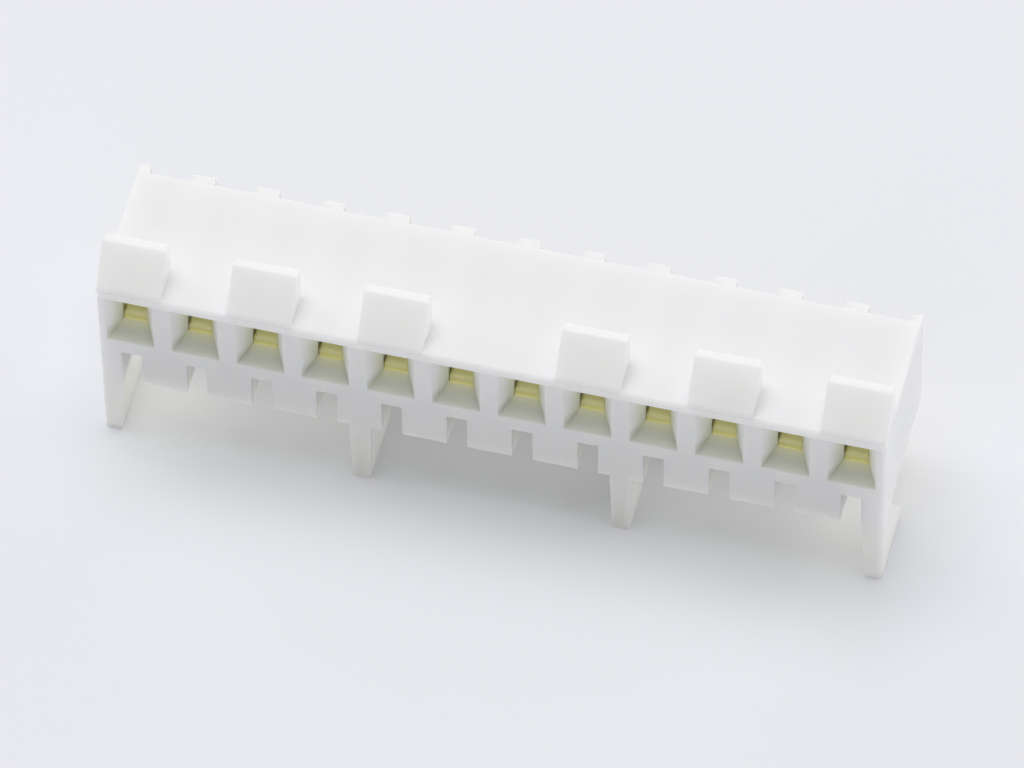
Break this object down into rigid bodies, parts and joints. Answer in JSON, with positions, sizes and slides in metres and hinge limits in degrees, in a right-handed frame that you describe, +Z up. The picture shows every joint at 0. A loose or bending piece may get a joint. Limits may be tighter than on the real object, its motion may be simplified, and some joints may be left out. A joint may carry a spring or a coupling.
{
  "type": "socket header",
  "caption": "Right-angle single-row board socket with tapered mouths, locking ramps, slotted underside, long polarising legs and formed spring contacts.",
  "frame": {"origin": "middle of the row of solder tails, on the plane where the housing sits on the board", "axes": "+X along the row, +Y from the mating face to the rear, +Z up from the board"},
  "size_m": [0.0476, 0.0099, 0.016],
  "materials": {
    "housing": "natural moulded nylon, satin",
    "contact": "gold plated strip, bright"
  },
  "bodies": {
    "root": {"housing": "housing", "contact_01": "contact", "contact_02": "contact", "contact_03": "contact", "contact_04": "contact", "contact_05": "contact", "contact_06": "contact", "contact_07": "contact", "contact_08": "contact", "contact_09": "contact", "contact_10": "contact", "contact_11": "contact", "contact_12": "contact"}
  },
  "joints": []
}
